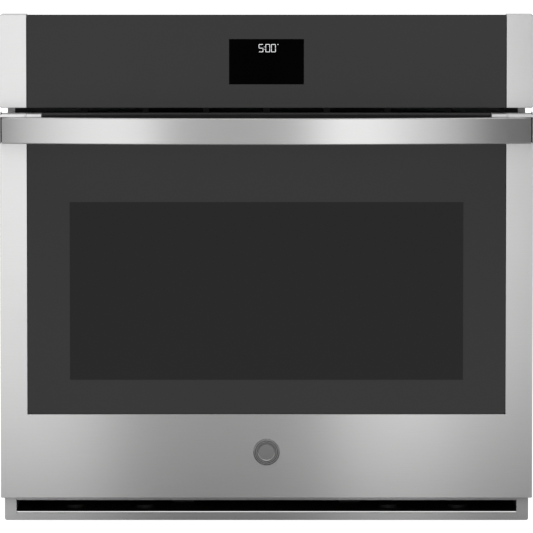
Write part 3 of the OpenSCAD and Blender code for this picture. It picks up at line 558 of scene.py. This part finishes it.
def buildDoorGlass():
    bm = boxShape(glassLow, glassHigh)
    corners = [edge for edge in bm.edges
               if all(near(vert.co.z, glassLow.z) for vert in edge.verts)
               and near(edge.verts[0].co.x, edge.verts[1].co.x)]
    bevelEdges(bm, corners, doorPane["cornerR"], 6)
    rim = [edge for edge in bm.edges if all(near(vert.co.y, glassLow.y) for vert in edge.verts)]
    bevelEdges(bm, rim, doorPane["edgeR"], 2)
    for x in (-doorPane["windowHalfW"], doorPane["windowHalfW"]):
        cutAcross(bm, (x, 0, 0), (1, 0, 0))
    for z in (doorPane["windowLow"], doorPane["windowHigh"]):
        cutAcross(bm, (0, 0, z), (0, 0, 1))
    for face in bm.faces:
        middle = face.calc_center_median()
        inWindow = abs(middle.x) < doorPane["windowHalfW"] \
            and doorPane["windowLow"] < middle.z < doorPane["windowHigh"]
        face.material_index = 1 if inWindow else 0
    piece = finishMesh(bm, "door_glass_pane", "door", "door_glass", ("door_glass",))
    piece.data.materials.append(windowGlass)


handleBar = {"bow": 0.0325, "length": 0.7466, "thickness": 0.012, "edgeR": 0.002, "steps": 72}


def buildHandleBar():
    low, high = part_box("handle_bar")
    thickness = handleBar["thickness"]
    radius = (handleBar["length"] ** 2 / 4 + handleBar["bow"] ** 2) / (2 * handleBar["bow"])
    centre = Vector((0, low.y + radius, 0))
    halfAngle = math.asin(handleBar["length"] / 2 / radius)
    bm = bmesh.new()
    bmesh.ops.create_grid(bm, x_segments=1, y_segments=1, size=0.5)
    bmesh.ops.scale(bm, vec=(thickness, high.z - low.z, 1), verts=bm.verts)
    bmesh.ops.bevel(bm, geom=bm.verts[:], offset=handleBar["edgeR"], affect="VERTICES",
                    segments=5, profile=0.5, material=-1)
    for axis in ("X", "Z"):
        bmesh.ops.rotate(bm, cent=(0, 0, 0), matrix=Matrix.Rotation(math.pi / 2, 3, axis),
                         verts=bm.verts)
    bmesh.ops.translate(bm, vec=(0, low.y + thickness / 2, (low.z + high.z) / 2), verts=bm.verts)
    bmesh.ops.rotate(bm, cent=centre, matrix=Matrix.Rotation(-halfAngle, 3, "Z"), verts=bm.verts)
    bmesh.ops.spin(bm, geom=bm.verts[:] + bm.edges[:] + bm.faces[:], cent=centre, axis=(0, 0, 1),
                   angle=2 * halfAngle, steps=handleBar["steps"], use_merge=False,
                   use_duplicate=False)
    bmesh.ops.remove_doubles(bm, verts=bm.verts, dist=1e-6)
    bmesh.ops.holes_fill(bm, edges=[edge for edge in bm.edges if edge.is_boundary], sides=0)
    bmesh.ops.recalc_face_normals(bm, faces=bm.faces)
    finishMesh(bm, "handle_bar_bowed", "door", "stainless", ("handle_bar",))


badgeDisc = {"profile": [(0.0, -0.0011), (0.0112, -0.0011), (0.0122, -0.0019), (0.0130, -0.0019),
                         (0.0138, -0.0009), (0.0152, -0.0009), (0.0162, -0.0021), (0.0174, -0.0021),
                         (0.0188, -0.0012), (0.0190, 0.0)],
             "segments": 72}


def buildBadge():
    low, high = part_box("badge")
    centreZ = (low.z + high.z) / 2
    bm = bmesh.new()
    verts = [bm.verts.new((r, skinLow.y + y, centreZ)) for r, y in badgeDisc["profile"]]
    edges = [bm.edges.new(pair) for pair in zip(verts, verts[1:])]
    bmesh.ops.spin(bm, geom=verts + edges, cent=(0, 0, centreZ), axis=(0, 1, 0),
                   angle=2 * math.pi, steps=badgeDisc["segments"], use_merge=True,
                   use_duplicate=False)
    bmesh.ops.remove_doubles(bm, verts=bm.verts, dist=1e-6)
    bmesh.ops.holes_fill(bm, edges=[edge for edge in bm.edges if edge.is_boundary], sides=0)
    bmesh.ops.recalc_face_normals(bm, faces=bm.faces)
    finishMesh(bm, "badge_disc", "door", "badge", ("badge",), 20.0)


endSlot = {"innerX": 0.3700, "outerX": 0.3754, "behindFront": 0.002}


def paintSlotShade(piece):
    # painted shade: a near-black liner that barely reflects, on the slot faces between each end of
    # the bar and its bracket, standing in for the shadow in that recess
    front = min(vert.co.y for vert in piece.data.vertices)
    piece.data.materials.append(slotShadeLiner)
    for face in piece.data.polygons:
        inSlot = endSlot["innerX"] < abs(face.center.x) < endSlot["outerX"]
        if inSlot and face.center.y > front + endSlot["behindFront"]:
            face.material_index = 1


buildDoorSkin()
buildDoorGlass()
buildHandleBar()
buildBadge()
brackets = softened("handle_brackets", 0.0007, 2)
paintSlotShade(brackets)
softened("door_top_trim", 0.0004, 2)
softened("door_top_strips", 0.0003, 2)
print("door built")


# the control panel

controlPanel = {"sheet": 0.0012, "edgeR": 0.0006, "cornerR": 0.0035, "rimR": 0.0007,
                "displayHalfW": 0.053, "displayLow": 0.6253, "displayHigh": 0.6895}


def buildControlGlass():
    low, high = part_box("control_glass")
    bm = boxShape(low, high)
    rim = [edge for edge in bm.edges if all(near(vert.co.y, low.y) for vert in edge.verts)]
    bevelEdges(bm, rim, controlPanel["edgeR"], 2)
    for x in (-controlPanel["displayHalfW"], controlPanel["displayHalfW"]):
        cutAcross(bm, (x, 0, 0), (1, 0, 0))
    for z in (controlPanel["displayLow"], controlPanel["displayHigh"]):
        cutAcross(bm, (0, 0, z), (0, 0, 1))
    for face in bm.faces:
        middle = face.calc_center_median()
        inDisplay = abs(middle.x) < controlPanel["displayHalfW"] \
            and controlPanel["displayLow"] < middle.z < controlPanel["displayHigh"]
        face.material_index = 1 if inDisplay and near(middle.y, low.y) else 0
    piece = finishMesh(bm, "control_glass_pane", "chassis", "control_glass", ("control_glass",))
    piece.data.materials.append(displayBlack)


def buildPanelCap(nodeName, side):
    low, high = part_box(nodeName)
    bm = boxShape(low, high)
    back = [face for face in bm.faces if near(face.calc_center_median().y, high.y)]
    bmesh.ops.delete(bm, geom=back, context="FACES")
    outerX = high.x if side > 0 else low.x
    corners = [edge for edge in bm.edges
               if all(near(vert.co.x, outerX) for vert in edge.verts)
               and near(edge.verts[0].co.z, edge.verts[1].co.z)]
    bevelEdges(bm, corners, controlPanel["cornerR"], 6)
    rim = [edge for edge in bm.edges if all(near(vert.co.y, low.y) for vert in edge.verts)]
    bevelEdges(bm, rim, controlPanel["rimR"], 3)
    bmesh.ops.recalc_face_normals(bm, faces=bm.faces)
    bmesh.ops.solidify(bm, geom=bm.faces, thickness=controlPanel["sheet"])
    finishMesh(bm, nodeName + "_folded", "chassis", "stainless", (nodeName,))


clockFace = {"height": 0.0112, "digitW": 0.0064, "gap": 0.0016, "stroke": 0.0007,
             "left": -0.0110, "low": 0.6710, "proud": 0.00004}
segmentsOf = {"5": "afgcd", "0": "abcdef"}


def buildClock():
    # generic reading: five o'clock on a seven-segment display
    low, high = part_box("control_glass")
    h = clockFace["height"]
    w = clockFace["digitW"]
    t = clockFace["stroke"]
    z0 = clockFace["low"]
    bm = bmesh.new()

    def bar(x, z, width, height):
        made = bmesh.ops.create_cube(bm, size=1.0)["verts"]
        bmesh.ops.scale(bm, vec=(width, 2 * clockFace["proud"], height), verts=made)
        bmesh.ops.translate(bm, vec=(x, low.y, z), verts=made)

    def digit(x, figure):
        places = {
            "a": (x + w / 2, z0 + h - t / 2, w - 1.6 * t, t),
            "g": (x + w / 2, z0 + h / 2, w - 1.6 * t, t),
            "d": (x + w / 2, z0 + t / 2, w - 1.6 * t, t),
            "f": (x + t / 2, z0 + 0.75 * h, t, h / 2 - 1.1 * t),
            "b": (x + w - t / 2, z0 + 0.75 * h, t, h / 2 - 1.1 * t),
            "e": (x + t / 2, z0 + 0.25 * h, t, h / 2 - 1.1 * t),
            "c": (x + w - t / 2, z0 + 0.25 * h, t, h / 2 - 1.1 * t),
        }
        for segment in segmentsOf[figure]:
            bar(*places[segment])

    digit(clockFace["left"], "5")
    colonX = clockFace["left"] + w + clockFace["gap"]
    for z in (0.33, 0.67):
        bar(colonX, z0 + z * h, t, t)
    digit(colonX + clockFace["gap"], "0")
    digit(colonX + 2 * clockFace["gap"] + w, "0")
    bar(colonX + 4 * clockFace["gap"] + 2 * w, z0 + h - t / 2, 2 * t, t)
    piece = finishMesh(bm, "clock_digits", "chassis", "control_glass")
    piece.data.materials.clear()
    piece.data.materials.append(digitGlow)


buildControlGlass()
buildPanelCap("left_panel_cap", -1)
buildPanelCap("right_panel_cap", 1)
buildClock()
softened("panel_bracket", 0.0005, 2)
print("control panel built")


# the chassis and the trim under the door

lowerTrim = {"sheet": 0.0012, "postW": 0.0169, "railH": 0.011, "cornerR": 0.0012,
             "rimR": 0.0007, "outerR": 0.003}


def buildLowerTrim():
    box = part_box("lower_trim")
    bm = openTopFront(box, lowerTrim["postW"], lowerTrim["railH"], lowerTrim["sheet"],
                      box[1].y - box[0].y, lowerTrim["cornerR"], lowerTrim["rimR"],
                      lowerTrim["outerR"])
    piece = finishMesh(bm, "lower_trim_folded", "chassis", "stainless", ("lower_trim",))
    # the lower trim wears the lighter copy of the stainless, which is painted light
    piece.data.materials[0] = trimSteelPaintedLighter


buildLowerTrim()
for nodeName in ("front_frame", "vent_louvre", "base_pan", "left_side_panel", "right_side_panel",
                 "rear_panel", "top_front_cover", "top_rear_cover", "junction_box"):
    softened(nodeName, 0.0003, 2)
softened("cavity_gasket", 0.0025, 4)
print("chassis built")


# the studio: white to the eye, softer in what it lends to the steel

studio = {"floorSize": 60.0, "white": 1.0, "skyAhead": 0.04, "skyAround": 0.8, "floorGrey": 0.36}


def eyeOnly(tree, seen, felt=None):
    # one strength for what the camera sees and another for what lights the oven
    path = tree.nodes.new("ShaderNodeLightPath")
    ranger = tree.nodes.new("ShaderNodeMapRange")
    ranger.inputs["To Min"].default_value = 0.0
    ranger.inputs["To Max"].default_value = seen
    tree.links.new(path.outputs["Is Camera Ray"], ranger.inputs["Value"])
    if felt:
        tree.links.new(felt, ranger.inputs["To Min"])
    return ranger.outputs["Result"]


def darkerAhead(tree):
    # the room is dim in front of the oven, so that the cards alone shape the steel
    direction = tree.nodes.new("ShaderNodeTexCoord")
    separate = tree.nodes.new("ShaderNodeSeparateXYZ")
    tree.links.new(direction.outputs["Generated"], separate.inputs["Vector"])
    return spread(tree, separate.outputs["Y"], studio["skyAhead"], studio["skyAround"], -0.75, -0.2)


def buildStudio():
    bm = bmesh.new()
    bmesh.ops.create_grid(bm, x_segments=1, y_segments=1, size=studio["floorSize"])
    mesh = bpy.data.meshes.new("floor")
    bm.to_mesh(mesh)
    bm.free()
    floor = bpy.data.objects.new("floor", mesh)
    bpy.context.scene.collection.objects.link(floor)
    material, tree, shader = newMaterial("floor")
    grain = noiseOn(tree, 40.0, detail=2.0)
    grey = studio["floorGrey"]
    tree.links.new(tint(tree, grain, shade(grey - 0.01), shade(grey + 0.01)),
                   shader.inputs["Base Color"])
    shader.inputs["Roughness"].default_value = 0.9
    shader.inputs["Specular IOR Level"].default_value = 0.1
    shader.inputs["Emission Color"].default_value = (1, 1, 1, 1)
    tree.links.new(eyeOnly(tree, studio["white"]), shader.inputs["Emission Strength"])
    mesh.materials.append(material)
    world = bpy.data.worlds.new("studio")
    world.use_nodes = True
    background = world.node_tree.nodes["Background"]
    background.inputs["Color"].default_value = (1, 1, 1, 1)
    sky = world.node_tree
    sky.links.new(eyeOnly(sky, studio["white"], darkerAhead(sky)), background.inputs["Strength"])
    bpy.context.scene.world = world


lamps = {
    "overhead": {"at": (0.0, -0.6, 3.0), "aim": (0, 0, 0.3), "size": (3.0, 2.0), "power": 12.0,
                 "steelOnly": False},
    "frontCard": {"at": (-0.05, -1.3, 0.72), "aim": (-0.05, 0, 0.72), "size": (1.1, 1.5),
                  "power": 2.6, "steelOnly": False},
    "leftCard": {"at": (-0.41, -0.86, 0.6), "aim": (-0.41, 0, 0.6), "size": (0.34, 1.18),
                 "power": 1.12, "steelOnly": True},
    "rightCard": {"at": (0.19, -0.86, 0.6), "aim": (0.19, 0, 0.6), "size": (0.18, 1.18),
                  "power": 0.64, "steelOnly": True},
    "rightEdge": {"at": (0.37, -0.86, 0.68), "aim": (0.37, 0, 0.68), "size": (0.2, 1.18),
                  "power": 0.4, "steelOnly": True},
}


def buildLamps():
    steel = bpy.data.collections.new("steel_pieces")
    for piece in bpy.context.scene.objects:
        if piece.type != "MESH":
            continue
        brushed = piece.data.materials[0] in (finishes["stainless"], trimSteelPaintedLighter)
        if brushed or piece.name.startswith("front_frame"):
            steel.objects.link(piece)
    for name, lamp in lamps.items():
        data = bpy.data.lights.new(name, "AREA")
        data.shape = "RECTANGLE"
        data.size = lamp["size"][0]
        data.size_y = lamp["size"][1]
        data.energy = lamp["power"]
        light = bpy.data.objects.new(name, data)
        light.location = lamp["at"]
        direction = Vector(lamp["aim"]) - Vector(lamp["at"])
        light.rotation_euler = direction.to_track_quat("-Z", "Y").to_euler()
        light.visible_camera = False
        if lamp["steelOnly"]:
            light.light_linking.receiver_collection = steel
        bpy.context.scene.collection.objects.link(light)


view = {"target": (0.0, -0.27, 0.3669), "distance": 9.0, "elevation": 4.5, "spanM": 0.7557,
        "sensor": 36.0}


def buildCamera():
    data = bpy.data.cameras.new("camera")
    data.sensor_width = view["sensor"]
    data.lens = view["sensor"] * view["distance"] / view["spanM"]
    data.clip_end = 200.0
    camera = bpy.data.objects.new("camera", data)
    tilt = math.radians(view["elevation"])
    target = Vector(view["target"])
    camera.location = target + view["distance"] * Vector((0, -math.cos(tilt), math.sin(tilt)))
    camera.rotation_euler = (target - camera.location).to_track_quat("-Z", "Y").to_euler()
    bpy.context.scene.collection.objects.link(camera)
    bpy.context.scene.camera = camera


buildStudio()
buildLamps()
buildCamera()
bpy.context.scene.view_settings.view_transform = "Standard"
print("studio built")
